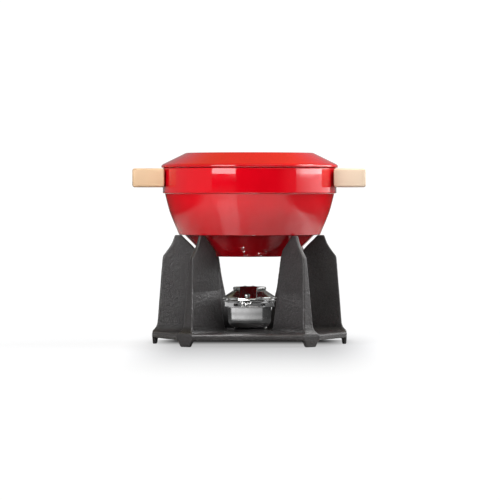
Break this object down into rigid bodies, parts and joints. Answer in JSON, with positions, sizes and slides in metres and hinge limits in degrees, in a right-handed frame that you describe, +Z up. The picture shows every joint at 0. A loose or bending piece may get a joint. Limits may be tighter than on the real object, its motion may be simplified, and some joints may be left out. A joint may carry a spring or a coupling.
{
  "type": "fondue pot set",
  "caption": "Enamelled cast-iron fondue pot with flat-topped lid and wooden side grips, on a finned cast-iron stand with a spirit burner.",
  "frame": {"origin": "centre of the stand, in the plane the feet stand on", "axes": "+Z up, the two grips lie along X, the open front between the fins and the burner's tabs face -Y"},
  "size_m": [0.294, 0.224, 0.2421],
  "materials": {
    "black_iron": "matt black sand-cast",
    "red_enamel": "glossy red vitreous enamel on cast iron",
    "beech": "light beech, fine sanded and oiled",
    "zinc_steel": "zinc-plated",
    "brass": "plain",
    "polished_steel": "polished stainless sheet",
    "satin_steel": "satin stainless sheet",
    "wadding": "mineral fibre wadding"
  },
  "bodies": {
    "base": {"stand": "black_iron"},
    "pot": {"pot_body": "red_enamel", "handle_left": "beech", "handle_right": "beech", "handle_screws_left": "zinc_steel", "handle_screws_right": "zinc_steel", "handle_washers_left": "zinc_steel", "handle_washers_right": "zinc_steel", "handle_inserts_left": "brass", "handle_inserts_right": "brass"},
    "cover": {"lid": "red_enamel"},
    "burner": {"burner_bowl": "polished_steel", "fuel_cup": "satin_steel", "wick_wadding": "wadding", "wick_gauze": "satin_steel", "gauze_ring": "satin_steel", "drip_flange": "polished_steel", "flange_posts": "satin_steel", "flame_cone": "polished_steel"},
    "regulator": {"regulator_ring": "polished_steel", "regulator_tab": "polished_steel", "tab_rivets": "satin_steel"},
    "snuffer": {"snuffer_cap": "polished_steel", "snuffer_handle": "polished_steel", "snuffer_rivets": "satin_steel", "snuffer_knob": "polished_steel"}
  },
  "joints": [
    {"name": "pot_lift", "type": "slide", "parent": "base", "child": "pot", "axis": [0, 0, 1], "range_m": [0, 0.12]},
    {"name": "lid_lift", "type": "slide", "parent": "pot", "child": "cover", "axis": [0, 0, 1], "range_m": [0, 0.08]},
    {"name": "burner_slide", "type": "slide", "parent": "base", "child": "burner", "axis": [0, -1, 0], "range_m": [0, 0.15]},
    {"name": "regulator_turn", "type": "hinge", "parent": "burner", "child": "regulator", "pos_m": [0, 0, 0.05], "axis": [0, 0, 1], "range_deg": [-1.5, 28.5]},
    {"name": "snuffer_lift", "type": "slide", "parent": "burner", "child": "snuffer", "axis": [0, 0, 1], "range_m": [0, 0.03]}
  ]
}
